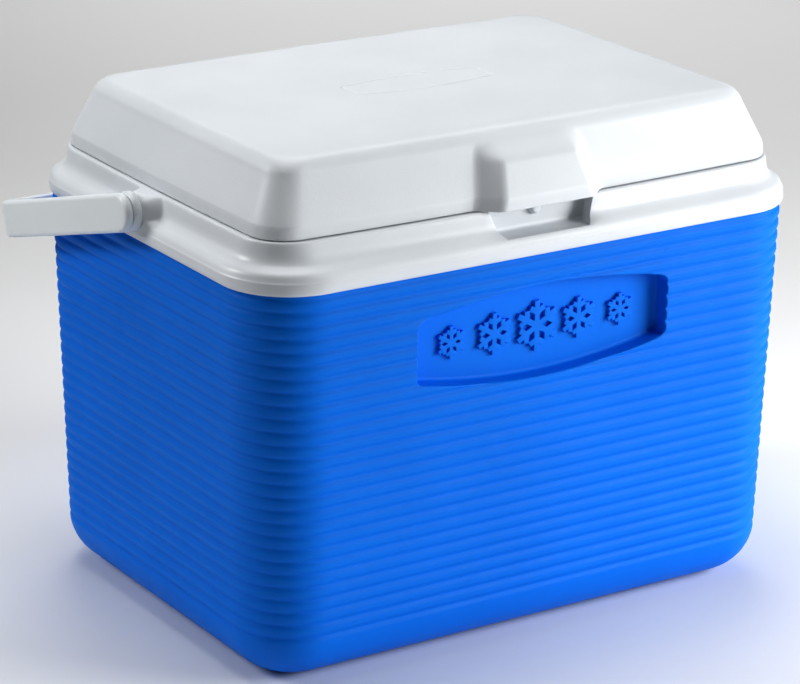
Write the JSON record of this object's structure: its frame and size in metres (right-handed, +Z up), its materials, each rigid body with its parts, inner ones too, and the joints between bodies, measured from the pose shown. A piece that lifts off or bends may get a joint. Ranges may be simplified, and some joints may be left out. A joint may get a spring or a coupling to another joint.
{
  "type": "cooler chest",
  "caption": "Foam-insulated picnic cooler chest with a ribbed tapered tub, white rim collar, hinged domed lid with a latch lip, and a swinging bail handle.",
  "frame": {"origin": "middle of the flat base, on the surface the chest stands on", "axes": "+X along the long side to the right as seen from the latch, +Y to the back where the lid is hinged, +Z up"},
  "size_m": [0.454, 0.3342, 0.3429],
  "materials": {
    "shell_blue": "satin",
    "collar_white": "satin",
    "lid_white": "matte",
    "liner_white": "satin",
    "handle_white": "satin",
    "fitting_white": "satin",
    "plug_blue": "satin",
    "clip_steel": "satin",
    "foam": "matte"
  },
  "bodies": {
    "root": {"outer_shell": "shell_blue", "rim_collar": "collar_white", "inner_liner": "liner_white", "body_insulation": "foam", "catch_peg": "fitting_white", "body_fill_plug": "plug_blue", "hinge_pin_left": "fitting_white", "hinge_pin_right": "fitting_white"},
    "lid": {"lid_shell": "lid_white", "lid_pan": "liner_white", "lid_insulation": "foam", "lid_fill_plug": "fitting_white"},
    "bail": {"bail_handle": "handle_white", "pivot_hub_left": "handle_white", "pivot_hub_right": "handle_white", "pivot_clip_left": "clip_steel", "pivot_clip_right": "clip_steel"}
  },
  "joints": [
    {"name": "lid_hinge", "type": "hinge", "parent": "root", "child": "lid", "pos_m": [0, 0.15, 0.301], "axis": [-1, 0, 0], "range_deg": [0, 105]},
    {"name": "bail_swing", "type": "hinge", "parent": "root", "child": "bail", "pos_m": [0, 0, 0.2858], "axis": [1, 0, 0], "range_deg": [0, 212.4]}
  ]
}
